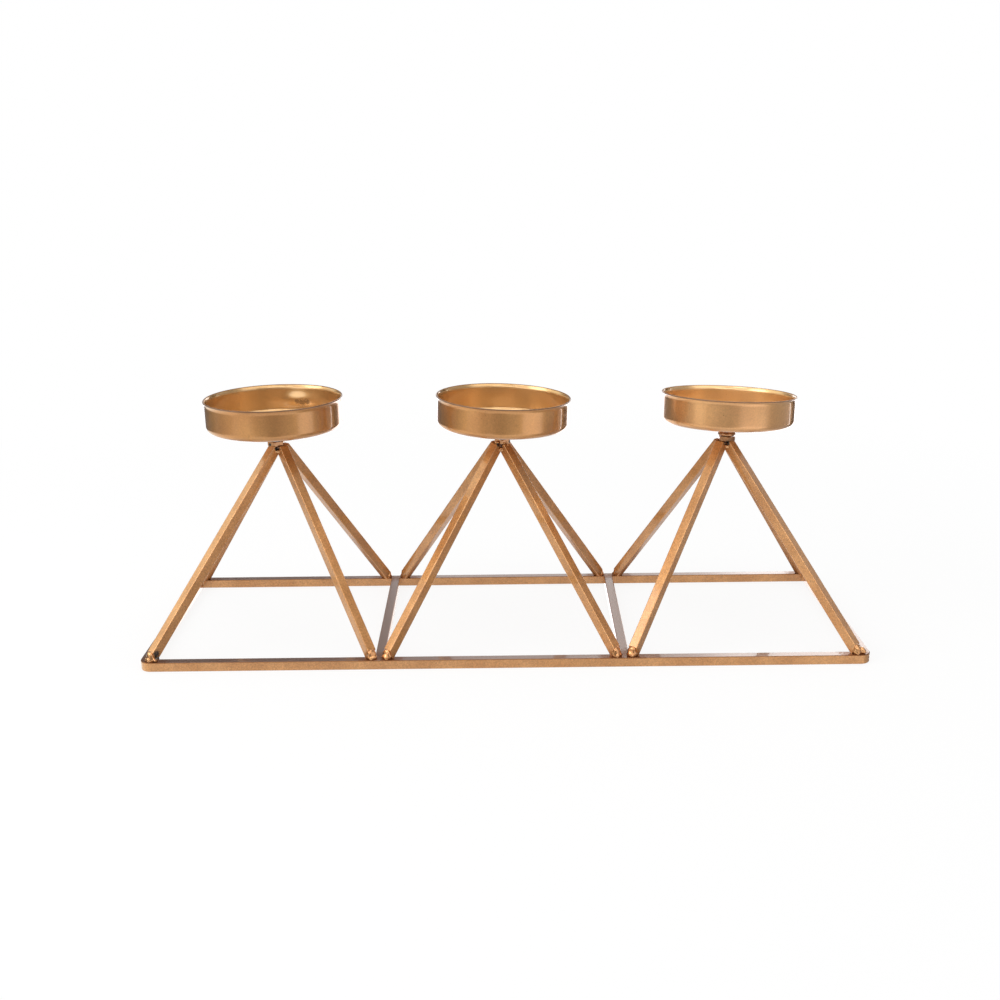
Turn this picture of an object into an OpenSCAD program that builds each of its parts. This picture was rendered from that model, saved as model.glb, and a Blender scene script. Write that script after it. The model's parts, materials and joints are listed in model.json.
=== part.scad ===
// Candle holder for three pillar candles: a flat base frame of square bar, three
// four-legged pyramids welded on it, and a round cup screwed into the top of each.
// The origin is at the middle of the base frame, on the surface it stands on.
// +X runs along the frame to the right, +Y to the back, +Z up.

/* [Base frame] */
// Length of the frame over its outer faces
base_l = 452.5; // [430:0.5:500]
// Depth of the frame over its outer faces
base_w = 149.5; // [130:0.5:180]
// Side of the square bar that the frame and the legs are made of
bar = 6; // [5:0.1:7]
// Radius of the bar's rolled long edges
bar_edge = 0.5; // [0.3:0.05:1]
// Inner radius of the frame's four bent corners
bend_r = 1; // [0.5:0.1:4]
// Front end of the left cross bar, along X
cross_left_front = -78; // [-90:0.1:-60]
// Rear end of the left cross bar, along X
cross_left_rear = -79; // [-90:0.1:-60]
// Front end of the right cross bar, along X
cross_right_front = 73.6; // [60:0.1:90]
// Rear end of the right cross bar, along X
cross_right_rear = 76.7; // [60:0.1:90]

/* [Legs] */
// Height of the nut's seat, where the four legs of a holder meet
seat_h = 124.6; // [100:0.1:160]
// How far each outer holder stands in from the middle of its bay
outer_in = 6; // [0:0.1:12]
// Distance of a leg's middle line from the holder's axis at the seat's height, along X and Y
leg_off = 1.67; // [1.4:0.01:1.9]
// How far a leg's square end stops short of the seat's height, along the leg
leg_short = 1.8; // [1:0.1:2.2]
// Foot of a front inner leg from the middle of the cross bar beside it
inner_foot_front = 4.2; // [4:0.1:8]
// Foot of a rear inner leg from the middle of the cross bar beside it
inner_foot_rear = 5.8; // [4:0.1:8]
// Foot of the left front corner leg from the middle of the frame's end bar
corner_foot_left = 3.3; // [2:0.1:8]
// Foot of the right front corner leg from the middle of the frame's end bar
corner_foot_right = 5.1; // [2:0.1:8]
// Foot of the left rear corner leg from the middle of the frame's end bar
corner_foot_left_rear = 3.7; // [2:0.1:8]
// Foot of the right rear corner leg from the middle of the frame's end bar
corner_foot_right_rear = 4.4; // [2:0.1:8]
// Depth of the flat that lets a leg's foot sit on the bar below it
foot_flat = 1.2; // [0.8:0.1:2]
// How much further up a leg's lower end is cut on its outer face, where the weld sits
foot_cut = 4.2; // [0:0.1:5]

/* [Nuts] */
// Width of a nut across its flats
nut_w = 10; // [9:0.1:12]
// Height of a nut
nut_h = 3; // [2.5:0.1:5]
// Sideways place of the left nut from the point where its legs meet
left_nut_x = -1.7; // [-2:0.1:2]
// Sideways place of the middle nut from the point where its legs meet
middle_nut_x = 1.1; // [-2:0.1:2]
// Sideways place of the right nut from the point where its legs meet
right_nut_x = 1.3; // [-2:0.1:2]
// Lean of the left nut and cup to the back
left_back = 0.1; // [-3:0.1:6]
// Lean of the middle nut and cup to the back
middle_back = 0.5; // [-3:0.1:6]
// Lean of the right nut and cup to the back
right_back = 4.2; // [-3:0.1:6]
// Lean of the left nut and cup to the right
left_side = -0.4; // [-3:0.1:3]
// Lean of the middle nut and cup to the right
middle_side = 2; // [-3:0.1:3]
// Lean of the right nut and cup to the right
right_side = 1.5; // [-3:0.1:3]

/* [Screws] */
// Outer diameter of the screw's thread
screw_d = 6; // [5:0.1:6.5]
// Length of the screw below its collar
screw_l = 5; // [4:0.1:6]
// Gap between screw and nut, all round
screw_gap = 0.05; // [0.02:0.01:0.1]
// Gap between screw and leg ends below the nut, all round
tip_gap = 0.4; // [0.3:0.05:0.6]
// Outer diameter of the collar that comes down on the nut
collar_d = 12; // [11:0.1:14]
// Height of the collar
collar_h = 2.4; // [1.5:0.1:3.5]
// Diameter of the waist above the collar
waist_d = 10.6; // [9:0.1:11]
// Diameter of the flare under the cup
flare_d = 19; // [14:0.5:30]
// Height from the collar's lower face to the cup's underside
neck_h = 8.2; // [6:0.1:12]
// Gap between collar and nut with the cup screwed right down
seat_gap = 0.1; // [0.05:0.05:0.3]
// How far the left cup is screwed up from its seat
left_lift = 0.3; // [0:0.1:3]
// How far the middle cup is screwed up from its seat
middle_lift = 0; // [0:0.1:3]
// How far the right cup is screwed up from its seat
right_lift = 0.2; // [0:0.1:3]

/* [Cups] */
// Outer diameter of a cup's wall
cup_d = 84.8; // [70:0.1:95]
// Height of a cup over its rim
cup_h = 19.6; // [14:0.1:30]
// Thickness of the cup's sheet
cup_t = 1; // [0.8:0.1:1.5]
// Outer radius of the turn from the floor to the wall
cup_r = 4; // [3:0.5:8]
// Radius of the bead that the rim is curled into
rim_r = 0.6; // [0.6:0.1:1.2]
// How far the bead stands out from the wall
rim_out = 0.8; // [0.8:0.1:1.6]
// Radius of the bend that turns the wall out to the bead, to the middle of the sheet
rim_bend_r = 5; // [3:0.1:8]

/* [Hidden] */
$fn = 96;

// The three holders, and the two ways along an axis
left = 0;
middle = 1;
right = 2;
low = -1;
high = 1;
front = 0;
rear = 1;

// Middle lines of the end bars and of the front and rear bars
end_x = base_l / 2 - bar / 2;
rail_y = base_w / 2 - bar / 2;

// The bars across the frame, front and rear ends, from left to right
bars_x = [
    [-end_x, -end_x],
    [cross_left_front, cross_left_rear],
    [cross_right_front, cross_right_rear],
    [end_x, end_x]
];

// Where the legs of each holder meet, from the middle of the bay between two bars
middle_x = [for (ends = bars_x) (ends[front] + ends[rear]) / 2];
bay_x = [for (i = [0:2]) (middle_x[i] + middle_x[i + 1]) / 2];
hub_x = [bay_x[left] + outer_in, bay_x[middle], bay_x[right] - outer_in];

// Feet from the bar on their left and from the bar on their right, front and rear
inner_foot = [inner_foot_front, inner_foot_rear];
left_corner_foot = [corner_foot_left, corner_foot_left_rear];
right_corner_foot = [corner_foot_right, corner_foot_right_rear];
foot_in = [[left_corner_foot, inner_foot], [inner_foot, inner_foot], [inner_foot, right_corner_foot]];

// Each nut's place, lean and how far its cup is screwed up
nut_x = [left_nut_x, middle_nut_x, right_nut_x];
back = [left_back, middle_back, right_back];
side = [left_side, middle_side, right_side];
lift = [left_lift, middle_lift, right_lift];

bend_mid_r = bend_r + bar / 2;
tip_depth = screw_l - nut_h - seat_gap + tip_gap;
nut_corner_r = nut_w / 2 / cos(30);
nut_chamfer = 0.7;
tip_chamfer = 0.8;
collar_round = collar_h / 2;
flare_h = neck_h - collar_h;
cup_wall_r = cup_d / 2;
cut = 1;

// Cross-section of the bar, with its middle at the origin
module bar_profile() {
    flat = bar - 2 * bar_edge;
    square([flat, bar], center = true);
    square([bar, flat], center = true);
    for (x = [low, high], y = [low, high])
        translate([x * flat / 2, y * flat / 2]) circle(bar_edge, $fn = 24);
}

// Straight bar from the origin along +X
module straight_bar(length) {
    rotate([90, 0, 90]) linear_extrude(length) bar_profile();
}

// One square bar, bent four times and butt-welded into a rectangle
module base_frame() {
    side_l = 2 * (end_x - bend_mid_r);
    end_l = 2 * (rail_y - bend_mid_r);
    color("#c08f5c") translate([0, 0, bar / 2]) {
        for (y = [low, high]) translate([-side_l / 2, y * rail_y, 0]) straight_bar(side_l);
        for (x = [low, high])
            translate([x * end_x, -end_l / 2, 0]) rotate(90) straight_bar(end_l);
        for (corner = [0:3]) {
            x = corner == 0 || corner == 3 ? high : low;
            y = corner < 2 ? high : low;
            translate([x * side_l / 2, y * end_l / 2, 0]) rotate(90 * corner)
                rotate_extrude(angle = 90) translate([bend_mid_r, 0]) bar_profile();
        }
    }
}

// Bar between the front and the rear of the frame, flush with it, from one end's X to the other's
module cross_bar(ends) {
    run = [ends[rear] - ends[front], 2 * rail_y];
    gap = run.y - bar;
    color("#b08459") intersection() {
        translate([ends[front], -rail_y, bar / 2])
            rotate(atan2(run.y, run.x)) straight_bar(norm(run));
        translate([-base_l / 2, -gap / 2, 0]) cube([base_l, gap, bar]);
    }
}

// Puts its children on a holder's nut seat, leaning as the nut does
module on_seat(holder) {
    translate([hub_x[holder] + nut_x[holder], 0, seat_h])
        rotate([-back[holder], side[holder], 0]) children();
}

// Outside of the nut, a hexagon with a corner to the front
module nut_hexagon() {
    rotate(30) cylinder(h = nut_h, r = nut_corner_r, $fn = 6);
}

// Leg from the frame up to the nut: cut square at both ends, with a flat where it sits on
// the bar, a mitre against its neighbours, and a notch that fits round the nut. The square
// ends of the four legs leave a pit below the nut, with room for the tip of the screw
module leg(holder, x, y) {
    bay_side = x == low ? 0 : 1;
    end = y == low ? front : rear;
    foot_x = bars_x[holder + bay_side][end] - x * foot_in[holder][bay_side][end];
    foot = [foot_x, y * rail_y, bar];
    top = [hub_x[holder] + x * leg_off, y * leg_off, seat_h];
    run = [top.x - foot.x, top.y - foot.y];
    slant = atan2(norm(run), top.z - foot.z);
    start = (bar / 2 * sin(slant) - foot_flat) / cos(slant);
    reach = base_l + base_w;
    color("#b5834c") difference() {
        intersection() {
            translate(foot) rotate([0, slant, atan2(run.y, run.x)]) translate([0, 0, start])
                linear_extrude(norm(top - foot) - leg_short - start) bar_profile();
            translate([hub_x[holder] - (x == low ? reach : 0), y == low ? -reach : 0, bar])
                cube([reach, reach, seat_h]);
        }
        translate(foot) rotate([0, slant, atan2(run.y, run.x)]) translate([bar / 2, 0, start])
            rotate([0, atan(foot_cut / bar), 0]) translate([-2 * bar, -bar, -bar]) cube([4 * bar, 2 * bar, bar]);
        on_seat(holder) {
            nut_hexagon();
            translate([0, 0, -tip_depth]) cylinder(h = tip_depth + cut, r = screw_d / 2 + tip_gap);
        }
    }
}

// Thin hexagon nut, its corners turned off above and below
module nut(holder) {
    color("#a97c4c") on_seat(holder) difference() {
        intersection() {
            nut_hexagon();
            rotate_extrude() polygon([
                [0, 0], [nut_corner_r - nut_chamfer, 0], [nut_corner_r, nut_chamfer * tan(30)],
                [nut_corner_r, nut_h - nut_chamfer * tan(30)], [nut_corner_r - nut_chamfer, nut_h],
                [0, nut_h]
            ]);
        }
        translate([0, 0, -cut]) cylinder(h = nut_h + 2 * cut, r = screw_d / 2 + screw_gap);
    }
}

// Puts its children at the collar's lower face
module on_collar(holder) {
    on_seat(holder) translate([0, 0, nut_h + seat_gap + lift[holder]]) children();
}

// Screw that carries a cup: thread, round collar, waist and a flare up to the cup's floor
module screw(holder) {
    screw_r = screw_d / 2;
    waist_r = waist_d / 2;
    flare_r = flare_d / 2;
    color("#b98d60") on_collar(holder) rotate_extrude() {
        polygon([
            [0, -screw_l], [screw_r - tip_chamfer, -screw_l], [screw_r, tip_chamfer - screw_l],
            [screw_r, 0], [0, 0]
        ]);
        square([collar_d / 2 - collar_round, collar_h]);
        translate([collar_d / 2 - collar_round, collar_round]) circle(collar_round);
        translate([0, collar_h / 2]) square([waist_r, neck_h - collar_h / 2]);
        difference() {
            translate([0, collar_h]) square([flare_r, flare_h]);
            translate([flare_r, collar_h]) scale([(flare_r - waist_r) / flare_h, 1]) circle(flare_h);
        }
    }
}

// Cup of thin sheet: flat floor, rounded turn, upright wall and a rim curled outwards
module cup(holder) {
    turn_x = cup_wall_r - cup_r;
    bead = [cup_wall_r + rim_out - rim_r, cup_h - rim_r];
    bend_x = cup_wall_r - cup_t / 2 + rim_bend_r;
    bend_h = sqrt(pow(rim_bend_r, 2) - pow(bend_x - bead.x, 2));
    wall_top = bead.y - bend_h;
    color("#bb8d5d") on_collar(holder) translate([0, 0, neck_h]) rotate_extrude($fn = 180) {
        square([turn_x, cup_t]);
        intersection() {
            difference() {
                translate([turn_x, cup_r]) circle(cup_r);
                translate([turn_x, cup_r]) circle(cup_r - cup_t);
            }
            translate([turn_x, 0]) square(cup_r);
        }
        translate([cup_wall_r - cup_t, cup_r]) square([cup_t, wall_top - cup_r]);
        intersection() {
            translate([bend_x, wall_top]) difference() {
                circle(rim_bend_r + cup_t / 2);
                circle(rim_bend_r - cup_t / 2);
            }
            translate([cup_wall_r - cup_t, wall_top]) square([bend_x - cup_wall_r, bend_h]);
        }
        translate(bead) circle(rim_r, $fn = 32);
    }
}

base_frame();
cross_bar(bars_x[1]);  // cross_bar_left
cross_bar(bars_x[2]);  // cross_bar_right
leg(left, low, low);  // left_leg_front_left
leg(left, high, low);  // left_leg_front_right
leg(left, low, high);  // left_leg_rear_left
leg(left, high, high);  // left_leg_rear_right
leg(middle, low, low);  // middle_leg_front_left
leg(middle, high, low);  // middle_leg_front_right
leg(middle, low, high);  // middle_leg_rear_left
leg(middle, high, high);  // middle_leg_rear_right
leg(right, low, low);  // right_leg_front_left
leg(right, high, low);  // right_leg_front_right
leg(right, low, high);  // right_leg_rear_left
leg(right, high, high);  // right_leg_rear_right
nut(left);  // left_nut
nut(middle);  // middle_nut
nut(right);  // right_nut
screw(left);  // left_screw
screw(middle);  // middle_screw
screw(right);  // right_screw
cup(left);  // left_cup
cup(middle);  // middle_cup
cup(right);  // right_cup
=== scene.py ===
import json
import math
import random

import bmesh
import bpy
from mathutils import Matrix, Vector

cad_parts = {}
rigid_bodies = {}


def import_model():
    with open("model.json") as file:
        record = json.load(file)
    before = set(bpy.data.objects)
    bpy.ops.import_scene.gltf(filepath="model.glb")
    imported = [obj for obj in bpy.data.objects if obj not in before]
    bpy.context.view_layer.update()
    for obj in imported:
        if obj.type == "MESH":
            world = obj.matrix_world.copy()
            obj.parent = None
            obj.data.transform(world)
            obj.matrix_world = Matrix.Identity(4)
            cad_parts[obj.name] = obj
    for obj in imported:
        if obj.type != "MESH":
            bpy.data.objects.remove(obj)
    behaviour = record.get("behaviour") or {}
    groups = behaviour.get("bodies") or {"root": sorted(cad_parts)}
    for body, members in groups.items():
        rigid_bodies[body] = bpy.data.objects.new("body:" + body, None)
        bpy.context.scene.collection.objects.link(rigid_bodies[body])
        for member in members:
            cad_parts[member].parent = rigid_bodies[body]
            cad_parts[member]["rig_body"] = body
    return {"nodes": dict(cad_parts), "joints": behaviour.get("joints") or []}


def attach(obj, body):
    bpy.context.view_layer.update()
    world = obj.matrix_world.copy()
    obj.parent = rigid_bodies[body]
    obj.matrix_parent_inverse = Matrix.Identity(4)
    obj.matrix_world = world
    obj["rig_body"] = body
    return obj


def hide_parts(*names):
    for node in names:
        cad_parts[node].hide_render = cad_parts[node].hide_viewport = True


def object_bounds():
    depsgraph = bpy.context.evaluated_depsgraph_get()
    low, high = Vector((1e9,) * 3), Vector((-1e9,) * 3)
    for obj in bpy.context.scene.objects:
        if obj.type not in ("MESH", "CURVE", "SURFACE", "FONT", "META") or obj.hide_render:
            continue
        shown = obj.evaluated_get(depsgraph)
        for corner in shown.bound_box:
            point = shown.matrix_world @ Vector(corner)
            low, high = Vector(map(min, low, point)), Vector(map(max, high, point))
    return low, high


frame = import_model()
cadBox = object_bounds()
nodes = frame["nodes"]
scene = bpy.context.scene
mm = 0.001
print("loaded the frame:", len(nodes), "nodes")


# Camera, measured from the photograph: a little left of the middle, looking down
cameraLook = {
    "place": (-5.3 * mm, -739.62 * mm, 310.01 * mm),
    "turn": 0.00398,  # to the right, in radians
    "down": 0.29432,
    "roll": 0.00948,
    "focalPixels": 1176.9,
    "pictureWidth": 1000,
    "sensorWidth": 36,  # in millimetres
}
white = (1, 1, 1, 1)


def addCamera():
    look = cameraLook
    turn, down, roll = look["turn"], look["down"], look["roll"]
    ahead = Vector((math.sin(turn) * math.cos(down), math.cos(turn) * math.cos(down), -math.sin(down)))
    level = Vector((math.cos(turn), -math.sin(turn), 0))
    below = ahead.cross(level)
    right = math.cos(roll) * level + math.sin(roll) * below
    low = math.cos(roll) * below - math.sin(roll) * level
    data = bpy.data.cameras.new("viewCamera")
    data.sensor_width = look["sensorWidth"]
    data.lens = look["focalPixels"] / look["pictureWidth"] * look["sensorWidth"]
    camera = bpy.data.objects.new("viewCamera", data)
    turned = Matrix((right, -low, -ahead)).transposed().to_4x4()
    camera.matrix_world = Matrix.Translation(look["place"]) @ turned
    scene.collection.objects.link(camera)
    scene.camera = camera


addCamera()
scene.view_settings.view_transform = "Standard"


def fromScreen(red, green, blue):  # a colour as an image editor shows it, made linear
    linear = [((level / 255 + 0.055) / 1.055) ** 2.4 for level in (red, green, blue)]
    return tuple(linear) + (1.0,)


# A socket that can be used in sums and products
class Wire:
    def __init__(self, tree, socket):
        self.tree = tree
        self.socket = socket

    def maths(self, operation, first, second=None):
        values = {0: first} if second is None else {0: first, 1: second}
        return addNode(self.tree, "ShaderNodeMath", {"operation": operation}, values)

    def __add__(self, other):
        return self.maths("ADD", self, other)

    def __sub__(self, other):
        return self.maths("SUBTRACT", self, other)

    def __rsub__(self, other):
        return self.maths("SUBTRACT", other, self)

    def __mul__(self, other):
        return self.maths("MULTIPLY", self, other)

    def __truediv__(self, other):
        return self.maths("DIVIDE", self, other)

    def largest(self, other):
        return self.maths("MAXIMUM", self, other)

    def smallest(self, other):
        return self.maths("MINIMUM", self, other)

    def clamped(self):
        return self.largest(0.0).smallest(1.0)

    def named(self, output):  # another output of the same node
        return Wire(self.tree, self.socket.node.outputs[output])

    __radd__ = __add__
    __rmul__ = __mul__


# One node of any kind: settings first, then the values or wires of its sockets
def addNode(tree, kind, settings=None, inputs=None, output=0):
    node = tree.nodes.new(kind)
    for key, value in (settings or {}).items():
        setattr(node, key, value)
    for key, value in (inputs or {}).items():
        if isinstance(value, Wire):
            tree.links.new(value.socket, node.inputs[key])
        else:
            node.inputs[key].default_value = value
    return Wire(tree, node.outputs[output]) if node.outputs else node


def mixColour(tree, factor, first, second, blend="MIX"):
    settings = {"data_type": "RGBA", "blend_type": blend, "clamp_result": False}
    return addNode(tree, "ShaderNodeMix", settings, {0: factor, 6: first, 7: second}, output=2)


def noise(tree, place, scale, detail=2.0, roughness=0.5):
    values = {"Vector": place, "Scale": scale, "Detail": detail, "Roughness": roughness}
    return addNode(tree, "ShaderNodeTexNoise", None, values)


def ramped(tree, value, low, high):  # 0 at low, 1 at high, smooth between
    settings = {"interpolation_type": "SMOOTHSTEP"}
    return addNode(tree, "ShaderNodeMapRange", settings, {"Value": value, "From Min": low, "From Max": high})


def distance(tree, first, second):
    return addNode(tree, "ShaderNodeVectorMath", {"operation": "DISTANCE"}, {0: first, 1: second}, "Value")


def newMaterial(name):
    material = bpy.data.materials.new(name)
    material.use_nodes = True
    material.node_tree.nodes.clear()
    return material, material.node_tree


def spotMask(tree, place, marks, look):  # 1 inside the ragged outlines of (centre, radius) marks
    ragged = noise(tree, place, look["raggedScale"], detail=3.0, roughness=0.6) - 0.5
    mask = None
    for centre, radius in marks:
        reach = distance(tree, place, centre) / radius + look["ragged"] * ragged
        spot = ramped(tree, reach, *look["spotEdge"])
        mask = spot if mask is None else mask.largest(spot)
    return mask


# Painted shade on the faces that lie flat, and on the rails' upper edges and round their feet. Returns the
# changed tone and coat
def shadeTops(tree, place, look, tone, coat, footShadeSpots):
    normal = addNode(tree, "ShaderNodeNewGeometry").named("Normal")
    facing = addNode(tree, "ShaderNodeSeparateXYZ", None, {"Vector": normal})
    up = ramped(tree, facing.named("Z"), *look["topRange"])
    if look["arrisShade"]:  # painted shade: brown on the upper edge where it turns towards the top
        turned = ramped(tree, facing.named("Z"), *look["arrisRange"])
        tone = mixColour(tree, turned * look["arrisShade"], tone, look["shadedArrisColour"])
        coat = coat * (1.0 - turned * (1.0 - up))
    tone = mixColour(tree, up * look["topShade"], tone, look["shadedTopColour"])
    if footShadeSpots:  # painted shade and reflection: brown round the feet
        shadedRoundFeet = spotMask(tree, place, footShadeSpots, look) * turned
        tone = mixColour(tree, shadedRoundFeet * look["footShadeAmount"], tone, look["footShadeColour"])
        coat = coat * (1.0 - look["footShadeAmount"] * shadedRoundFeet)
    return tone, coat


# Bronze-gold paint with fine flake under a clear coat. Marks of burned paint and of painted shade, and the
# painted shade round the feet, are (centre, radius) pairs
def bronzePaint(name, look, burnsAndShade=(), footShadeSpots=()):
    material, tree = newMaterial(name)
    place = addNode(tree, "ShaderNodeTexCoord").named("Object")
    blotch = ramped(tree, noise(tree, place, look["blotchScale"]), *look["blotchRange"])
    flake = addNode(tree, "ShaderNodeTexVoronoi", None, {"Vector": place, "Scale": look["flakeScale"]})
    sparkle = addNode(tree, "ShaderNodeSeparateColor", None, {"Color": flake.named("Color")})
    grain = noise(tree, place, look["grainScale"], roughness=0.6)
    fleck = look["grain"] * (grain - 0.5) + look["flake"] * (sparkle - 0.5)
    tone = mixColour(tree, blotch, look["deepColour"], look["paleColour"])
    metallic, coat = look["metallic"], look["coat"]
    if "insideGrain" in look:  # marks left in a cup's mesh
        inside = addNode(tree, "ShaderNodeAttribute", {"attribute_name": "inside"}).named("Fac")
        edge = addNode(tree, "ShaderNodeAttribute", {"attribute_name": "edge"}).named("Fac")
        fleck = fleck * (1.0 - (1.0 - look["insideGrain"]) * inside)
        # painted light: the inside of a cup is lighter
        tone = mixColour(tree, inside, tone, look["insideLitColour"])
        # painted shade: a dark line along the rim's edge
        tone = mixColour(tree, edge * look["rimShadeAmount"], tone, look["rimShadeColour"])
    tone = mixColour(tree, 1.0, tone, asGrey(tree, 1.0 + fleck), "MULTIPLY")
    if look["topShade"]:
        tone, coat = shadeTops(tree, place, look, tone, coat, footShadeSpots)
    roughness = look["roughness"] + look["roughnessSpread"] * (grain - 0.5)
    if "insideGrain" in look:  # no clear coat and less metal on the rim's edge, where its painted shade lies
        coat = coat * (1.0 - edge)
        metallic = metallic * (1.0 - look["rimShadeAmount"] * edge)
    # burned paint, and painted shade in crevices and dents
    if burnsAndShade:
        burntAndShaded = spotMask(tree, place, burnsAndShade, look)
        tone = mixColour(tree, burntAndShaded * look["burnAndShadeAmount"], tone, look["burnAndShadeColour"])
        metallic = metallic * (1.0 - look["burnAndShadeMetalLoss"] * look["burnAndShadeAmount"] * burntAndShaded)
        roughness = roughness + look["burnAndShadeRoughness"] * burntAndShaded
        coat = coat * (1.0 - look["burnAndShadeCoatLoss"] * look["burnAndShadeAmount"] * burntAndShaded)
    peel = noise(tree, place, look["peelScale"])
    height = peel + look["flakeBump"] * sparkle
    values = {"Height": height, "Strength": look["bump"], "Distance": look["bumpDepth"]}
    bumped = addNode(tree, "ShaderNodeBump", None, values)
    shader = addNode(tree, "ShaderNodeBsdfPrincipled", None, {
        "Base Color": tone,
        "Metallic": metallic,
        "Roughness": roughness.clamped(),
        "Normal": bumped,
        "Coat Weight": coat,
        "Coat Roughness": look["coatRoughness"],
        "Coat IOR": look["coatIor"],
    })
    addNode(tree, "ShaderNodeOutputMaterial", None, {"Surface": shader})
    return material


def lighter(look, share, wash):  # painted light: a paint made lighter, then washed towards its cream
    tones = {}
    for key in ("deepColour", "paleColour", "insideLitColour"):
        mixed = [a * share * (1 - wash) + b * wash for a, b in zip(look[key], look["lightWashColour"])]
        tones[key] = tuple(mixed[:3]) + (1.0,)
    return dict(look, **tones)


def asGrey(tree, value):  # one number as a colour
    return addNode(tree, "ShaderNodeCombineColor", None, {"Red": value, "Green": value, "Blue": value})


paint = {
    "deepColour": fromScreen(190, 133, 78),
    "paleColour": fromScreen(206, 150, 94),
    # painted shade: the colour of faces that lie flat
    "shadedTopColour": fromScreen(126, 98, 84),
    # painted shade: the colour of the rails' upper edges
    "shadedArrisColour": fromScreen(98, 58, 32),
    # burned paint by the welds, and painted shade in crevices
    "burnAndShadeColour": fromScreen(26, 22, 21),
    "blotchScale": 60.0,
    "blotchRange": (0.3, 0.7),
    "flakeScale": 1500.0,
    "grainScale": 950.0,
    "peelScale": 420.0,
    "grain": 0.55,
    "flake": 0.3,
    "flakeBump": 0.2,
    "topShade": 0.8,
    "topRange": (0.72, 0.96),  # how far upwards a face looks: none at the first, all at the second
    "arrisShade": 0.0,
    "arrisRange": (0.08, 0.4),
    "burnAndShadeAmount": 0.96,
    "burnAndShadeMetalLoss": 0.7,
    "burnAndShadeCoatLoss": 0.8,
    "burnAndShadeRoughness": 0.15,
    "ragged": 1.4,
    "raggedScale": 620.0,
    "spotEdge": (1.05, 0.72),  # where a mark starts and where it is full, as shares of its reach
    "metallic": 0.66,
    "roughness": 0.34,
    "roughnessSpread": 0.10,
    "bump": 0.22,
    "bumpDepth": 0.00005,
    "coat": 1.0,
    "coatRoughness": 0.06,
    "coatIor": 1.5,
}
# painted shade and reflection round the feet on the rails' tops
railPaint = dict(paint, arrisShade=0.75, footShadeAmount=0.85, footShadeColour=fromScreen(118, 72, 36),
                 footShadeReach=10.0 * mm)
cupPaint = dict(paint, deepColour=fromScreen(192, 134, 77), paleColour=fromScreen(204, 148, 87),
                topShade=0.0, roughness=0.3, grain=0.34, flake=0.1, blotchScale=34.0, bump=0.03, metallic=0.8,
                # painted light inside the cups, painted shade on the rims' edges and in the dents, and a
                # cream for the painted light
                insideLitColour=fromScreen(208, 166, 112), insideGrain=0.3, rimShadeAmount=0.8,
                rimShadeColour=fromScreen(92, 62, 44), lightWashColour=fromScreen(240, 215, 180), burnAndShadeAmount=0.6,
                burnAndShadeColour=fromScreen(74, 44, 20), ragged=2.6, raggedScale=1300.0)
paintedCupLight = {"left": (0.95, 0.0), "middle": (1.0, 0.0), "right": (1.15, 0.12)}  # painted light on each cup: how much lighter, how much washed towards cream
weldPaint = dict(paint, deepColour=fromScreen(182, 122, 68), paleColour=fromScreen(212, 158, 102),
                 metallic=0.8, topShade=0.0, roughness=0.16, blotchScale=120.0, grain=0.12, flake=0.1,
                 coatRoughness=0.02, bump=0.02)
# painted shade: darker than the weld paint, for the screws and nuts under the cups
shadedNeckPaint = dict(weldPaint, deepColour=fromScreen(146, 96, 56), paleColour=fromScreen(190, 136, 88),
                 roughness=0.22, grain=0.3)
# paint burned by the welds, and painted shade in the crevices round the nuts: place and reach of each mark,
# in millimetres
burnAndShadeMarks = {
    # painted shade in the crevices between each nut and the legs
    "leftHub": ((-145.6, -4.2, 123.4), 2.1),
    "leftHubSide": ((-140.8, -3.0, 126.3), 1.0),
    "leftHubFar": ((-149.8, -3.4, 125.8), 1.2),
    "middleHubFar": ((4.6, -3.6, 126.0), 1.1),
    "middleHub": ((-1.1, -4.2, 122.9), 1.6),
    "middleHubSide": ((-3.6, -5.2, 124.6), 1.5),
    "rightHub": ((144.8, -4.2, 123.6), 2.5),
    # paint burned by the welds at the feet
    "leftCorner": ((-214.3, -73.0, 10.6), 3.2),
    "leftCrossFoot": ((-74.5, -71.0, 9.0), 1.5),
    "rightCrossFoot": ((74.5, -71.0, 8.5), 1.5),
}
# painted shade in a cup's dent, likewise
dentShadeMarks = {
    "left": (((-138.2, 39.2, 144.6), 2.0), ((-135.2, 38.6, 143.8), 2.6), ((-131.8, 37.6, 144.4), 2.4)),
    "middle": (),
    "right": (),
}


def inMetres(marks):
    return [(tuple(value * mm for value in centre), reach * mm) for centre, reach in marks]


burnsAndShade = inMetres(burnAndShadeMarks.values())
print("paints ready")


# Where each holder's parts are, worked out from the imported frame
def nodePoints(name):
    return [vertex.co.copy() for vertex in nodes[name].data.vertices]


def middleOf(points):
    return sum(points, Vector()) / len(points)


def holderFrame(side):
    turn = next(joint for joint in frame["joints"] if joint["name"] == side + "_cup_turn")
    seat = Vector(turn["pos_m"])
    axis = Vector(turn["axis"]).normalized()
    heights = [(point - seat).dot(axis) for point in nodePoints(side + "_screw")]
    rim = [(point - seat).dot(axis) for point in nodePoints(side + "_cup")]
    across = Vector((1, 0, 0))
    back = axis.cross(across).normalized()
    matrix = Matrix((back.cross(axis), back, axis)).transposed().to_4x4()
    matrix.translation = seat
    return {"seat": seat, "matrix": matrix, "tip": min(heights), "floor": min(rim), "rim": max(rim)}


sides = ("left", "middle", "right")
holders = {side: holderFrame(side) for side in sides}
legNames = [name for name in nodes if "_leg_" in name]
footSlice = 0.05 * mm  # how much of a leg's height counts as its foot, and as its top
topSlice = 4 * mm


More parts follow.
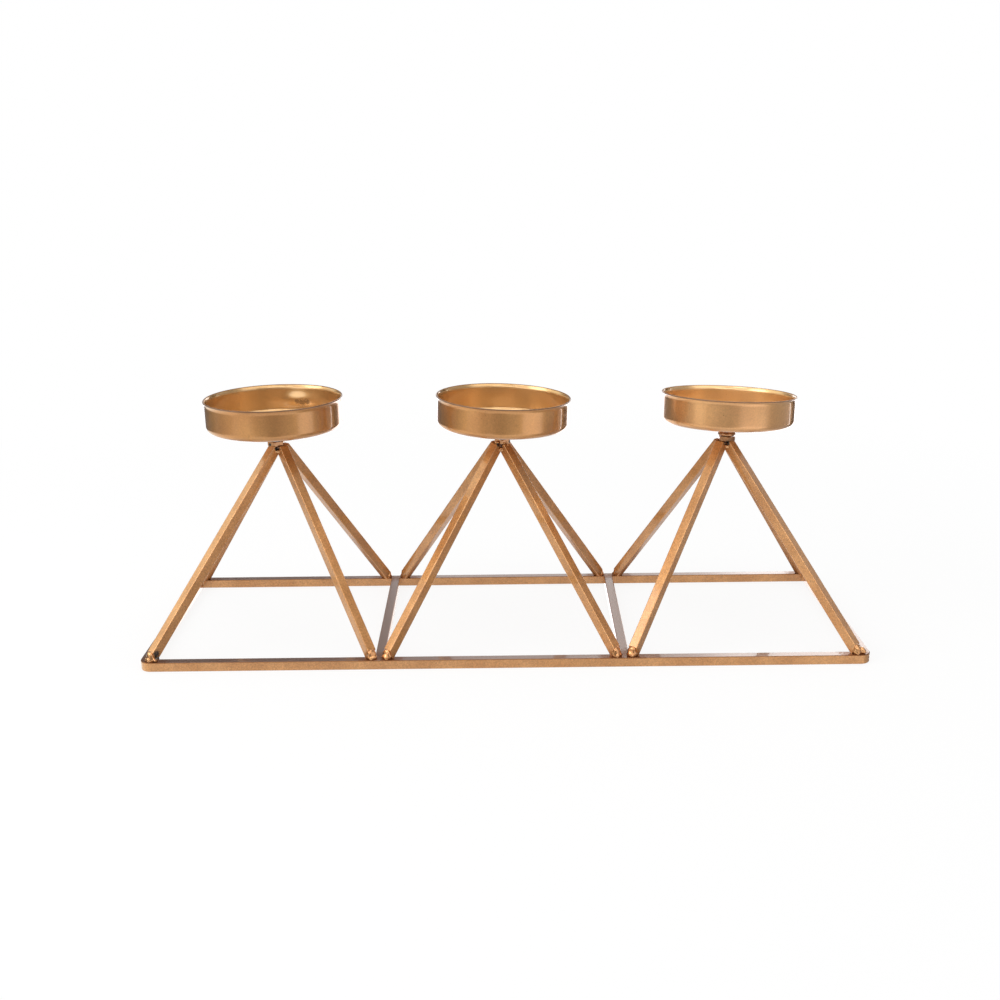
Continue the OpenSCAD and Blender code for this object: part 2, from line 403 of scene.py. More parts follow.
def legFrame(name):
    points = nodePoints(name)
    lowest = min(point.z for point in points)
    foot = middleOf([point for point in points if point.z < lowest + footSlice])
    highest = max(point.z for point in points)
    top = middleOf([point for point in points if point.z > highest - topSlice])
    run = Vector((top.x - foot.x, top.y - foot.y, 0)).normalized()
    across = Vector((-run.y, run.x, 0))
    return {"foot": foot, "top": top, "run": run, "across": across}


legs = {name: legFrame(name) for name in legNames}
print("holders and legs measured")


def meshObject(name, mesh, material, body, smooth=True):
    piece = bpy.data.objects.new(name, mesh)
    scene.collection.objects.link(piece)
    mesh.materials.clear()
    mesh.materials.append(material)
    if smooth:
        mesh.shade_smooth()
    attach(piece, body)
    return piece


onAxis = 1e-7  # a ring that is smaller than this is one point


# A profile of (radius, height) pairs turned round the holder's axis. Marks are values for each pair
def latheMesh(name, profile, matrix, steps, shape=None, marks=None):
    mesh = bpy.data.meshes.new(name)
    work = bmesh.new()
    layers = {label: work.verts.layers.float.new(label) for label in (marks or {})}
    rings = []
    for radius, height in profile:
        if radius < onAxis:
            rings.append([work.verts.new((0, 0, height))])
            continue
        ring = []
        for step in range(steps):
            angle = 2 * math.pi * step / steps
            spot = Vector((radius * math.cos(angle), radius * math.sin(angle), height))
            ring.append(work.verts.new(shape(spot) if shape else spot))
        rings.append(ring)
    for label, layer in layers.items():
        for ring, value in zip(rings, marks[label]):
            for vertex in ring:
                vertex[layer] = value
    for lower, upper in zip(rings, rings[1:]):
        for step in range(steps):
            after = (step + 1) % steps
            if len(lower) == 1:
                work.faces.new((lower[0], upper[after], upper[step]))
            elif len(upper) == 1:
                work.faces.new((lower[step], lower[after], upper[0]))
            else:
                work.faces.new((lower[step], lower[after], upper[after], upper[step]))
    work.transform(matrix)
    bmesh.ops.recalc_face_normals(work, faces=work.faces)
    work.to_mesh(mesh)
    work.free()
    return mesh


def arc(centre, radius, first, last, steps):  # points of an arc, angles in degrees
    turns = [math.radians(first + (last - first) * i / steps) for i in range(steps + 1)]
    return [(centre[0] + radius * math.cos(turn), centre[1] + radius * math.sin(turn)) for turn in turns]


# Cups of thin sheet with a plain rounded rim, and the small faults of pressed parts
cupLook = {
    "sheet": 0.8 * mm,
    "turnRadius": 4.0 * mm,
    "rimRadius": 0.42 * mm,
    "rimBend": 5.0 * mm,
    "steps": 288,
    "floorShares": (0, 0.1, 0.25, 0.4, 0.55, 0.7, 0.82),  # rings on the floor, as shares of the wall's radius
    "cornerSteps": 12,
    "wallSteps": 16,
    "curlSteps": 8,
    "wider": {"left": 1.021, "middle": 1.002, "right": 0.993},  # from side to side
    "outOfRound": {"left": 0.1 * mm, "middle": 0.08 * mm, "right": 0.1 * mm},
    "ripple": 0.35,  # a finer wave round the cup, as a share of the coarse one
    "dentFrom": 0.9,  # dents reach this share of the wall's radius and beyond
    # how much the rim stands higher: everywhere, and further towards an angle
    "rimRaise": {
        "left": (0.3 * mm, 0.0, 0),
        "middle": (-0.1 * mm, 0.3 * mm, 180),
        "right": (-0.4 * mm, 0.5 * mm, 200),
    },
    # angle round the cup, height over the floor, reach along and upwards, and depth of each dent
    "dents": {
        "left": ((78, 9.6 * mm, 8.0 * mm, 4.4 * mm, 1.4 * mm), (74, 6.2 * mm, 6.5 * mm, 2.4 * mm, -0.6 * mm),
                 (54, 17.0 * mm, 10.0 * mm, 6.0 * mm, -0.5 * mm)),
        "middle": ((100, 12.0 * mm, 9.0 * mm, 6.0 * mm, 0.2 * mm),),
        "right": ((80, 9.0 * mm, 9.0 * mm, 6.0 * mm, 0.2 * mm),),
    },
}


def cupProfile(floor, top, wall, rimOut):
    look = cupLook
    sheet, turn, edge = look["sheet"], look["turnRadius"], look["rimRadius"]
    edgeX, edgeZ = wall + rimOut - edge, top - edge
    bendX = wall - sheet / 2 + look["rimBend"]
    bendAngle = math.degrees(math.acos((bendX - edgeX) / look["rimBend"]))
    wallTop = edgeZ - look["rimBend"] * math.sin(math.radians(bendAngle))
    corner, steps, curls = look["cornerSteps"], look["wallSteps"], look["curlSteps"]
    flat = [(wall * share, floor) for share in look["floorShares"]]
    outer = arc((wall - turn, floor + turn), turn, 270, 360, corner)
    rise = [(wall, floor + turn + (wallTop - floor - turn) * i / steps) for i in range(1, steps)]
    curl = arc((bendX, wallTop), look["rimBend"] - sheet / 2, 180, 180 - bendAngle, curls)
    rim = arc((edgeX, edgeZ), edge, -bendAngle, 180 - bendAngle, corner)
    inside = arc((bendX, wallTop), look["rimBend"] + sheet / 2, 180 - bendAngle, 180, curls)
    fall = [(radius - sheet, height) for radius, height in reversed(rise)]
    inner = arc((wall - turn, floor + turn), turn - sheet, 360, 270, corner)
    ground = [(radius, height + sheet) for radius, height in reversed(flat)]
    shell = [(flat + outer + rise, 0, 0), (curl, 0, 0), (rim, 0.5, 1), (inside + fall + inner + ground, 1, 0)]
    marks = {"inside": [], "edge": []}
    for part, inward, edged in shell:
        marks["inside"] += [inward] * len(part)
        marks["edge"] += [edged] * len(part)
    return sum((part for part, inward, edged in shell), []), marks


def cupShape(side, floor, wall, top):
    look = cupLook
    rough, wider = look["outOfRound"][side], look["wider"][side]
    lift, lean, leanAngle = look["rimRaise"][side]

    def shape(spot):
        angle = math.atan2(spot.y, spot.x)
        away = math.hypot(spot.x, spot.y)
        height = spot.z - floor
        share = (away / wall) ** 2
        wave = math.sin(2 * angle + len(side)) + look["ripple"] * math.sin(5 * angle)
        inward = rough * share * (1 + wave) / 2
        if away > wall * look["dentFrom"]:
            for turn, up, reach, rise, depth in look["dents"][side]:
                along = ((math.degrees(angle) - turn + 180) % 360 - 180) * math.pi / 180 * wall
                inward += depth * math.exp(-((along / reach) ** 2 + ((height - up) / rise) ** 2))
        keep = 1 - inward / away
        raised = (lift + lean * math.cos(angle - math.radians(leanAngle))) * (height / (top - floor)) ** 2
        return Vector((spot.x * keep * wider, spot.y * keep, spot.z + raised))

    return shape


def addCup(side):
    holder = holders[side]
    node = nodes[side + "_cup"]
    local = holder["matrix"].inverted()
    points = [local @ point for point in nodePoints(side + "_cup")]
    middle = (holder["floor"] + holder["rim"]) / 2
    wall = max(math.hypot(p.x, p.y) for p in points if p.z < middle)
    rimOut = max(math.hypot(p.x, p.y) for p in points) - wall
    profile, marks = cupProfile(holder["floor"], holder["rim"], wall, rimOut)
    shape = cupShape(side, holder["floor"], wall, holder["rim"])
    mesh = latheMesh(side + "CupShell", profile, holder["matrix"], cupLook["steps"], shape, marks)
    # painted light on each cup, and painted shade in its dents
    material = bronzePaint(side + "CupPaint", lighter(cupPaint, *paintedCupLight[side]), inMetres(dentShadeMarks[side]))
    piece = meshObject(side + "CupShell", mesh, material, node["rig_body"])
    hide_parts(side + "_cup")


for side in sides:
    addCup(side)
print("cups made")


# A geometry tree with a geometry input, named inputs and the finish
def startTree(name, inputs):
    tree = bpy.data.node_groups.new(name, "GeometryNodeTree")
    tree.interface.new_socket("Geometry", in_out="INPUT", socket_type="NodeSocketGeometry")
    for label, kind in inputs.items():
        tree.interface.new_socket(label, in_out="INPUT", socket_type=kind)
    tree.interface.new_socket("Finish", in_out="INPUT", socket_type="NodeSocketMaterial")
    tree.interface.new_socket("Geometry", in_out="OUTPUT", socket_type="NodeSocketGeometry")
    return tree, addNode(tree, "NodeGroupInput")


def endTree(tree, given, geometry):
    real = addNode(tree, "GeometryNodeRealizeInstances", None, {"Geometry": geometry})
    finished = {"Geometry": real, "Material": given.named("Finish")}
    done = addNode(tree, "GeometryNodeSetMaterial", None, finished)
    addNode(tree, "NodeGroupOutput", None, {"Geometry": done})
    return tree


# Runs a tree on a mesh and returns the result as a plain mesh
def runTree(tree, name, mesh, values):
    carrier = bpy.data.objects.new(name, mesh)
    scene.collection.objects.link(carrier)
    modifier = carrier.modifiers.new("shape", "NODES")
    modifier.node_group = tree
    for item in tree.interface.items_tree:
        if item.in_out == "INPUT" and item.name in values:
            modifier[item.identifier] = values[item.name]
    seen = carrier.evaluated_get(bpy.context.evaluated_depsgraph_get())
    made = bpy.data.meshes.new_from_object(seen)
    carrier.modifiers.remove(modifier)
    bpy.data.objects.remove(carrier)
    made.name = name
    return made


# Screws under the cups: a coarse lathe form thick with paint, and a thread
screwLook = {
    "thread": 6.0 * mm,
    "core": 4.9 * mm,
    "pitch": 1.0 * mm,
    "collar": 12.0 * mm,
    "collarHeight": 2.4 * mm,
    "waist": 10.6 * mm,
    "flare": 19.0 * mm,
    "shoulderPast": 0.5 * mm,  # the solid's points this far outside the thread are the collar's or higher
    "tipTaper": (0.5 * mm, 0.6 * mm),  # how much narrower the tip is, and over what height
    "collarArc": (-90, 62),  # in degrees, from the shoulder up to the waist
    "collarSteps": 12,
    "neckGap": 0.25 * mm,  # between the collar and the waist
    "flareSteps": 10,
    "steps": 96,
    # lumps of thick paint: depth, share of it that varies, and the waves that it follows, each with its
    # share, how many go round, how far it twists in a metre of height, and its start
    "lumps": 0.16 * mm,
    "lumpShare": 0.6,
    "lumpWaves": ((1.0, 3, 900, 0), (0.6, 7, -2100, 1)),
    "plainBelow": 0.1 * mm,  # no lumps as close as this to the shoulder, and to the cup
    "plainAbove": 0.3 * mm,
    "threadSteps": 40,  # in each turn
    "ridgeCorners": 4,
    "threadStart": 0.7,  # above the tip, in pitches
    "threadShort": 1.4,  # how many turns fewer the thread has than the height would hold
    "threadSunk": 0.02 * mm,
}


def threadTree():
    tree, given = startTree("screwThread", {
        "Pitch": "NodeSocketFloat", "Turns": "NodeSocketFloat", "Radius": "NodeSocketFloat",
        "Ridge": "NodeSocketFloat"})
    rise = given.named("Pitch") * given.named("Turns")
    path = addNode(tree, "GeometryNodeCurveSpiral", None, {
        "Resolution": screwLook["threadSteps"], "Rotations": given.named("Turns"),
        "Start Radius": given.named("Radius"), "End Radius": given.named("Radius"),
        "Height": rise, "Reverse": True})
    upright = addNode(tree, "GeometryNodeSetCurveNormal", {"mode": "Z_UP"}, {"Curve": path})
    ridge = addNode(tree, "GeometryNodeCurvePrimitiveCircle", None, {
        "Resolution": screwLook["ridgeCorners"], "Radius": given.named("Ridge")})
    swept = addNode(tree, "GeometryNodeCurveToMesh", None, {
        "Curve": upright, "Profile Curve": ridge, "Fill Caps": True})
    flat = addNode(tree, "GeometryNodeSetShadeSmooth", None, {"Geometry": swept, "Shade Smooth": False})
    return endTree(tree, given, flat)


screwMaterial = bronzePaint("screwPaint", shadedNeckPaint)
threads = threadTree()


def addScrew(side):
    look = screwLook
    holder = holders[side]
    node = nodes[side + "_screw"]
    tip, floor = holder["tip"], holder["floor"]
    local = holder["matrix"].inverted()
    points = [local @ point for point in nodePoints(side + "_screw")]
    past = look["thread"] / 2 + look["shoulderPast"]
    shoulder = min(p.z for p in points if math.hypot(p.x, p.y) > past)
    core, half, waist = look["core"] / 2, look["collarHeight"] / 2, look["waist"] / 2
    narrower, taper = look["tipTaper"]
    profile = [(0, tip), (core - narrower, tip), (core, tip + taper), (core, shoulder)]
    middle = (look["collar"] / 2 - half, shoulder + half)
    profile += arc(middle, half, *look["collarArc"], look["collarSteps"])
    neck = shoulder + look["collarHeight"] + look["neckGap"]
    spread, rise = look["flare"] / 2 - waist, floor - neck
    for i in range(look["flareSteps"] + 1):
        turn = math.radians(90 * i / look["flareSteps"])
        profile.append((waist + spread * (1 - math.cos(turn)), neck + rise * math.sin(turn)))
    profile.append((0, floor))

    def painted(spot):  # thick, uneven paint above the shoulder
        if spot.z < shoulder + look["plainBelow"] or spot.z > floor - look["plainAbove"]:
            return spot
        angle = math.atan2(spot.y, spot.x)
        wave = 0
        for share, count, twist, start in look["lumpWaves"]:
            wave += share * math.sin(count * angle + twist * spot.z + start)
        keep = 1 - look["lumps"] * (1 + wave * look["lumpShare"]) / math.hypot(spot.x, spot.y)
        return Vector((spot.x * keep, spot.y * keep, spot.z))

    mesh = latheMesh(side + "ScrewBody", profile, holder["matrix"], look["steps"], painted)
    piece = meshObject(side + "ScrewBody", mesh, screwMaterial, node["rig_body"])
    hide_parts(side + "_screw")
    ridge = look["thread"] / 2 - core
    turns = (shoulder - tip) / look["pitch"] - look["threadShort"]
    thread = runTree(threads, side + "ScrewThread", bpy.data.meshes.new("empty"), {
        "Pitch": look["pitch"], "Turns": turns, "Radius": core + look["threadSunk"],
        "Ridge": ridge - look["threadSunk"], "Finish": screwMaterial})
    start = tip + look["threadStart"] * look["pitch"]
    thread.transform(holder["matrix"] @ Matrix.Translation((0, 0, start)))
    ridges = meshObject(side + "ScrewThread", thread, screwMaterial, node["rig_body"], smooth=False)


for side in sides:
    addScrew(side)
print("screws made")


# Weld beads: balls melted into one skin, which is evened and then roughened
beadLook = {
    "voxel": 0.22,  # in millimetres, as all sizes inside the bead tree
    "threshold": 0.1,  # how dense the balls' cloud is where the skin lies
    "lump": 0.03,
    "lumpScale": 0.6,
    "soften": 36,
    "seed": 11,
}


def beadTree():
    tree, given = startTree("weldBeads", {
        "Voxel": "NodeSocketFloat", "Lump": "NodeSocketFloat", "Lump Scale": "NodeSocketFloat",
        "Seed": "NodeSocketFloat", "Soften": "NodeSocketInt"})
    size = addNode(tree, "GeometryNodeInputNamedAttribute", {"data_type": "FLOAT"}, {"Name": "beadSize"})
    balls = addNode(tree, "GeometryNodeMeshToPoints", None, {"Mesh": given, "Radius": size})
    filled = addNode(tree, "GeometryNodePointsToVolume", {"resolution_mode": "VOXEL_SIZE"}, {
        "Points": balls, "Voxel Size": given.named("Voxel"), "Radius": size})
    skin = addNode(tree, "GeometryNodeVolumeToMesh", None, {
        "Volume": filled, "Threshold": beadLook["threshold"]})
    place = addNode(tree, "GeometryNodeInputPosition")
    evened = addNode(tree, "GeometryNodeBlurAttribute", {"data_type": "FLOAT_VECTOR"}, {
        "Value": place, "Iterations": given.named("Soften")})
    soft = addNode(tree, "GeometryNodeSetPosition", None, {"Geometry": skin, "Position": evened})
    wave = addNode(tree, "ShaderNodeTexNoise", {"noise_dimensions": "4D"}, {
        "Vector": place, "W": given.named("Seed"), "Scale": given.named("Lump Scale"), "Detail": 2.0})
    normal = addNode(tree, "GeometryNodeInputNormal")
    push = given.named("Lump") * (wave - 0.5) * 2.0
    offset = addNode(tree, "ShaderNodeVectorMath", {"operation": "SCALE"}, {0: normal, "Scale": push})
    rough = addNode(tree, "GeometryNodeSetPosition", None, {"Geometry": soft, "Offset": offset})
    real = addNode(tree, "GeometryNodeTransform", None, {"Geometry": rough, "Scale": (mm, mm, mm)})
    return endTree(tree, given, real)


beads = beadTree()


# Melts (place, radius) balls into one mesh, kept inside the solids' box
def beadMesh(name, balls, material):
    points = bpy.data.meshes.new(name + "Points")
    points.from_pydata([place / mm for place, radius in balls], [], [])
    sizes = points.attributes.new("beadSize", "FLOAT", "POINT")
    sizes.data.foreach_set("value", [radius / mm for place, radius in balls])
    look = beadLook
    mesh = runTree(beads, name, points, {
        "Voxel": look["voxel"], "Lump": look["lump"], "Lump Scale": look["lumpScale"],
        "Seed": float(look["seed"]), "Soften": look["soften"], "Finish": material})
    low, high = cadBox
    for vertex in mesh.vertices:
        vertex.co = [min(max(value, lowest), highest) for value, lowest, highest in zip(vertex.co, low, high)]
    return mesh


weldMaterial = bronzePaint("weldPaint", weldPaint, burnsAndShade)


# Beads in the wedge that each leg's slanting end leaves open, on the side away from its holder
footLook = {
    # distance behind the foot, height over the rail, and radius of each row, in millimetres
    "rows": ((2.2, 1.7, 2.2), (3.0, 3.4, 1.8), (2.7, 4.8, 1.5), (4.2, 1.2, 1.7)),
    "step": 1.3 * mm,  # from ball to ball along a row
    "endDrop": 0.3 * mm,  # how much lower the balls at a row's ends are
    "jitter": 0.08 * mm,
    "spread": (0.88, 1.08),  # how much smaller or larger a ball is than its row says
    "seed": 5,
    # further balls: place and radius, in millimetres
    "extra": {
        "left_leg_front_left": ((-214.5, -72.5, 8.2, 1.4), (-215.8, -73.6, 7.2, 1.2)),
        "right_leg_front_right": (
            (220.6, -71.6, 8.6, 1.7), (221.6, -72.0, 7.2, 1.6), (217.6, -73.2, 9.2, 1.5)),
    },
}


def footBalls(name, leg, dice):
    look = footLook
    balls = []
    for back, up, radius in look["rows"]:
        for i in (-1, 0, 1):
            place = leg["foot"] - leg["run"] * back * mm + leg["across"] * i * look["step"]
            place.z = leg["foot"].z + up * mm - abs(i) * look["endDrop"]
            jitter = Vector((dice.uniform(-1, 1), dice.uniform(-1, 1), dice.uniform(-1, 1))) * look["jitter"]
            balls.append((place + jitter, radius * mm * dice.uniform(*look["spread"])))
    balls += [(Vector(ball[:3]) * mm, ball[3] * mm) for ball in look["extra"].get(name, ())]
    return balls


def addFootWelds():
    dice = random.Random(footLook["seed"])
    for name, leg in legs.items():
        parts = name.split("_")
        label = parts[0] + parts[2].title() + parts[3].title() + "FootWeld"
        mesh = beadMesh(label, footBalls(name, leg, dice), weldMaterial)
        piece = meshObject(label, mesh, weldMaterial, "stand")


addFootWelds()
print("foot welds made")


# Beads where the legs meet under each nut, and between the nut and the legs it touches
hubLook = {
    "reach": 5.0 * mm,
    "below": 2.7 * mm,
    "radius": 1.35 * mm,
    "spread": (0.9, 1.1),  # how much smaller or larger a bead is than its radius says
    "runSpread": (0.92, 1.08),
    # the ball on the inner side of each bead: how far in, how far up and how much smaller
    "innerIn": 0.6 * mm,
    "innerUp": 0.3 * mm,
    "innerLess": 0.35 * mm,
    "seed": 9,
    # further beads at the front, in millimetres: first place, last place, how many and radius
    "runs": {
        "left": [((-146.3, -5.0, 121.4), (-144.2, -5.0, 121.5), 3, 1.2)],
        "middle": [((-2.5, -5.0, 120.9), (-0.4, -5.0, 120.9), 3, 1.2),
                   ((-4.6, -5.1, 126.2), (-3.2, -5.1, 125.9), 3, 1.05),
                   ((0.2, -5.3, 125.8), (1.0, -5.3, 125.7), 2, 0.9),
                   ((2.9, -5.0, 126.4), (2.9, -5.0, 122.6), 8, 0.6)],
        "right": [((143.5, -5.0, 121.5), (145.6, -5.0, 121.5), 3, 1.2)],
    },
}


def hubBalls(side, dice):
    look = hubLook
    tops = [leg["top"] for name, leg in legs.items() if name.startswith(side)]
    centre = middleOf(tops)
    seat = holders[side]["seat"]
    balls = []
    for angle in (-90, 0, 90, 180):
        turn = math.radians(angle)
        out = Vector((math.cos(turn), math.sin(turn), 0))
        place = Vector((centre.x, centre.y, seat.z - look["below"])) + out * look["reach"]
        balls.append((place, look["radius"] * dice.uniform(*look["spread"])))
        inner = place - out * look["innerIn"] + Vector((0, 0, look["innerUp"]))
        balls.append((inner, look["radius"] - look["innerLess"]))
    for first, last, count, radius in look["runs"][side]:
        for i in range(count):
            place = Vector(first).lerp(Vector(last), i / (count - 1)) * mm
            balls.append((place, radius * mm * dice.uniform(*look["runSpread"])))
    return balls


def addHubWelds():
    dice = random.Random(hubLook["seed"])
    for side in sides:
        label = side + "HubWeld"
        mesh = beadMesh(label, hubBalls(side, dice), weldMaterial)
        piece = meshObject(label, mesh, weldMaterial, "stand")


addHubWelds()
print("hub welds made")


# The frame, legs and nuts keep their solids and get the paint
def paintNode(name, material):
    mesh = nodes[name].data
    mesh.materials.clear()
    mesh.materials.append(material)


legMaterial = bronzePaint("legPaint", paint, burnsAndShade)
# painted shade and reflection round each foot on the rails
footShadeSpots = [(tuple(leg["foot"]), railPaint["footShadeReach"]) for leg in legs.values()]
railMaterial = bronzePaint("railPaint", railPaint, burnsAndShade, footShadeSpots)
nutMaterial = bronzePaint("nutPaint", shadedNeckPaint, burnsAndShade)
for name in nodes:
    if name.endswith(("_cup", "_screw")):
        continue
    if name.endswith("_nut"):
        paintNode(name, nutMaterial)
    else:
        paintNode(name, legMaterial if name in legs else railMaterial)
print("paint on the solids")


# Floor, lamps, and the room, screens and cards that gloss shows
studio = {
    "floorSize": 8.0,
    "floorColour": (0.95, 0.95, 0.95, 1),
    "floorShare": 0.16,  # how much of the floor under the object answers to the lamps, the rest is white
    "fadeFrom": 0.3,  # that share fades out between these distances from the object's middle
    "fadeTo": 0.75,
    "worldLight": 0.72,
    # what gloss shows of the room, its floor, ceiling and rear wall: each brightness, and where a
    # direction starts and ends to meet that part, as the sine of its slope or its share to the rear
    "room": 0.42,
    "floorGlow": 0.85,
    "floorFrom": (-0.26, -0.42),
    "ceiling": 1.0,
    "ceilingFrom": (0.6, 0.9),
    "rearWall": 1.0,
    "rearFrom": (0.8, 0.88),
    "lampAim": (0, 0, 0.08),
    # place, power and size of each soft lamp
    "lamps": {
        "softLeft": ((-1.3, -0.5, 0.85), 7.0, 0.9),
        "softTop": ((0.0, -0.1, 1.6), 6.0, 1.3),
        "softRight": ((1.1, -1.0, 0.6), 1.2, 0.7),
    },
    # screens that only gloss shows: azimuth from the front, elevation, half width, half height,
    # soft edge, all in degrees, brightness and tint
    "screens": {
        "floorLeft": (-95, -33, 45, 16, 3, 1.25, (1.0, 0.98, 0.88)),
        "floorRight": (98, -33, 40, 16, 3, 0.42, (1.0, 1.0, 1.0)),
        "floorFront": (9, -32, 35, 12, 5, 1.05, (1.0, 0.99, 0.96)),
        "darkLeft": (-128, -2, 28, 13, 4, 0.12, (1.0, 1.0, 1.0)),
        "darkRight": (134, -4, 13, 20, 1.5, 0.03, (1.0, 1.0, 1.0)),
        "lineRight": (120, -6, 1.2, 15, 0.8, 3.2, (1.0, 1.0, 1.0)),
        "stripRight": (157, -8, 8, 25, 3, 2.8, (1.0, 0.98, 1.0)),
        "stripLeft": (-170, -8, 9, 25, 3, 2.2, (0.97, 0.95, 1.0)),
        "darkHigh": (100, 40, 40, 10, 6, 0.3, (1.0, 1.0, 1.0)),
        "lowRight": (110, 24, 8, 3, 4, 0.8, (1.0, 1.0, 1.0)),
        "keyLeft": (-91, 24, 28, 13, 12, 1.35, (1.0, 1.0, 0.84)),
        "highFront": (36, 42, 22, 13, 12, 1.8, (1.0, 0.97, 0.88)),
        "edgeStrip": (-4, 24, 20, 3, 3, 4.0, (1.0, 0.98, 0.94)),
        "spark": (-34, 48, 8, 7, 4, 3.6, (1.0, 0.98, 0.94)),
        "frontStrip": (-46, 14, 20, 7, 4, 2.2, (1.0, 0.99, 0.96)),
        "sideDark": (-92, -4, 9, 9, 5, 0.3, (1.0, 1.0, 1.0)),
        "darkBack": (-164, 25, 6, 9, 8, 0.12, (1.0, 1.0, 1.0)),
        "glowBack": (160, 25, 5, 8, 14, 1.4, (1.0, 1.0, 1.0)),
        "glowCore": (162.5, 24, 4, 8, 3, 3.2, (1.0, 1.0, 1.0)),
    },
    # cards near the object that only gloss shows: place, half width, half height and soft edge in
    # metres, brightness and tint
    "cards": {
        "cameraDark": ((-0.05, -0.7, -0.035), 0.09, 0.1, 0.1, 0.34, (1.0, 1.0, 1.0)),
        "cardLeft": ((-0.41, -0.33, 0.005), 0.06, 0.1, 0.1, 1.0, (1.0, 0.96, 0.86)),
        "cardRight": ((0.268, -0.235, 0.055), 0.08, 0.04, 0.07, 1.4, (1.0, 0.98, 0.97)),
    },
}


def rectangle(name, right, top):  # a flat mesh, half as wide and half as high as given
    mesh = bpy.data.meshes.new(name)
    corners = [(-right, -top, 0), (right, -top, 0), (right, top, 0), (-right, top, 0)]
    mesh.from_pydata(corners, [], [(0, 1, 2, 3)])
    return mesh


def addFloor():
    size = studio["floorSize"] / 2
    mesh = rectangle("floor", size, size)
    floor = bpy.data.objects.new("floor", mesh)
    scene.collection.objects.link(floor)
    material, tree = newMaterial("floorWhite")
    place = addNode(tree, "ShaderNodeTexCoord").named("Object")
    away = addNode(tree, "ShaderNodeVectorMath", {"operation": "LENGTH"}, {0: place}, "Value")
    near = ramped(tree, away, studio["fadeTo"], studio["fadeFrom"])
    ray = addNode(tree, "ShaderNodeLightPath")
    straight = ray.named("Is Camera Ray").largest(ray.named("Is Transmission Ray"))
    seen = straight.largest(ray.named("Is Glossy Ray"))
    lit = addNode(tree, "ShaderNodeBsdfDiffuse", None, {"Color": studio["floorColour"]})
    plain = addNode(tree, "ShaderNodeEmission", None, {"Color": white, "Strength": 1.0})
    share = seen * (1.0 - near * studio["floorShare"])
    both = addNode(tree, "ShaderNodeMixShader", None, {0: share, 1: lit, 2: plain})
    addNode(tree, "ShaderNodeOutputMaterial", None, {"Surface": both})
    mesh.materials.append(material)
    floor.visible_glossy = False  # gloss sees the world's own floor


def towards(azimuth, elevation):  # from the front, positive to the right
    turn, up = math.radians(azimuth), math.radians(elevation)
    return Vector((math.sin(turn) * math.cos(up), -math.cos(turn) * math.cos(up), math.sin(up)))


def dot(tree, first, second):
    return addNode(tree, "ShaderNodeVectorMath", {"operation": "DOT_PRODUCT"}, {0: first, 1: second}, "Value")


nearestDepth = 0.02  # directions that point less than this towards a screen don't meet it


# 1 inside a soft-edged rectangle seen in a direction, 0 outside
def screenMask(tree, direction, azimuth, elevation, wide, tall, soft):
    ahead = towards(azimuth, elevation)
    right = Vector((0, 0, 1)).cross(ahead).normalized()
    depth = dot(tree, direction, ahead)
    mask = depth.maths("GREATER_THAN", depth, nearestDepth)
    for axis, half in ((right, wide), (ahead.cross(right), tall)):
        off = dot(tree, direction, axis) / depth
        size = off.maths("ABSOLUTE", off)
        mask = mask * ramped(tree, size, math.tan(math.radians(half + soft)), math.tan(math.radians(half)))
    return mask


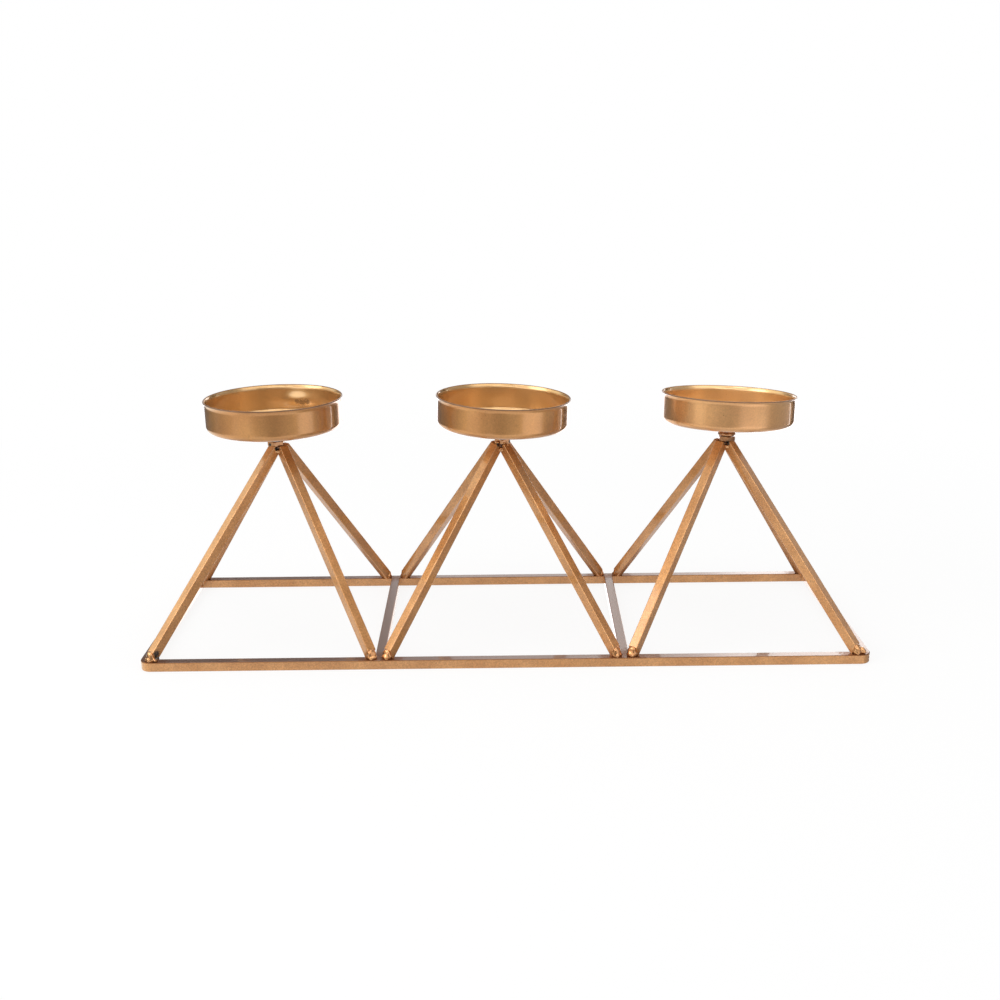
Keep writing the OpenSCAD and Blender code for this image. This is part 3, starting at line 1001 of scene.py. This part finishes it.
def addWorld():
    world = bpy.data.worlds.new("studio")
    scene.world = world
    world.use_nodes = True
    tree = world.node_tree
    tree.nodes.clear()
    direction = addNode(tree, "ShaderNodeTexCoord").named("Generated")
    parts = addNode(tree, "ShaderNodeSeparateXYZ", None, {"Vector": direction})
    height, depth = parts.named("Z"), parts.named("Y")
    onFloor = ramped(tree, height, *studio["floorFrom"])
    level = studio["room"] + (studio["floorGlow"] - studio["room"]) * onFloor
    level = level + (studio["ceiling"] - level) * ramped(tree, height, *studio["ceilingFrom"])
    level = level + (studio["rearWall"] - level) * ramped(tree, depth, *studio["rearFrom"])
    gloss = asGrey(tree, level)
    for azimuth, elevation, wide, tall, soft, bright, tint in studio["screens"].values():
        mask = screenMask(tree, direction, azimuth, elevation, wide, tall, soft)
        gloss = mixColour(tree, mask, gloss, tuple(bright * share for share in tint) + (1,))
    light = studio["worldLight"]
    ray = addNode(tree, "ShaderNodeLightPath")
    colour = mixColour(tree, ray.named("Is Glossy Ray"), (light, light, light, 1), gloss)
    direct = ray.named("Is Camera Ray").largest(ray.named("Is Transmission Ray"))
    colour = mixColour(tree, direct, colour, white)
    back = addNode(tree, "ShaderNodeBackground", None, {"Color": colour, "Strength": 1.0})
    addNode(tree, "ShaderNodeOutputWorld", None, {"Surface": back})


def addCards():
    for name, (place, wide, tall, soft, bright, tint) in studio["cards"].items():
        material, tree = newMaterial(name)
        spot = addNode(tree, "ShaderNodeTexCoord").named("Object")
        parts = addNode(tree, "ShaderNodeSeparateXYZ", None, {"Vector": spot})
        mask = None
        for axis, half in (("X", wide), ("Y", tall)):
            size = parts.named(axis).maths("ABSOLUTE", parts.named(axis))
            side = ramped(tree, size, half + soft, half)
            mask = side if mask is None else mask * side
        colour = tuple(bright * share for share in tint) + (1,)
        glow = addNode(tree, "ShaderNodeEmission", None, {"Color": colour, "Strength": 1.0})
        clear = addNode(tree, "ShaderNodeBsdfTransparent")
        both = addNode(tree, "ShaderNodeMixShader", None, {0: mask, 1: clear, 2: glow})
        addNode(tree, "ShaderNodeOutputMaterial", None, {"Surface": both})
        mesh = rectangle(name, wide + soft, tall + soft)
        mesh.materials.append(material)
        card = bpy.data.objects.new(name, mesh)
        aim = Vector((0, 0, place[2])) - Vector(place)
        card.matrix_world = Matrix.Translation(place) @ aim.to_track_quat("Z", "Y").to_matrix().to_4x4()
        card.visible_camera = card.visible_diffuse = card.visible_shadow = False
        card.visible_transmission = False
        scene.collection.objects.link(card)


def addLamps():
    for name, (place, power, size) in studio["lamps"].items():
        data = bpy.data.lights.new(name, "AREA")
        data.energy = power
        data.size = size
        lamp = bpy.data.objects.new(name, data)
        lamp.visible_camera = False
        aim = Vector(studio["lampAim"]) - Vector(place)
        lamp.matrix_world = Matrix.Translation(place) @ aim.to_track_quat("-Z", "Y").to_matrix().to_4x4()
        scene.collection.objects.link(lamp)


addFloor()
addWorld()
addCards()
addLamps()
print("studio ready")
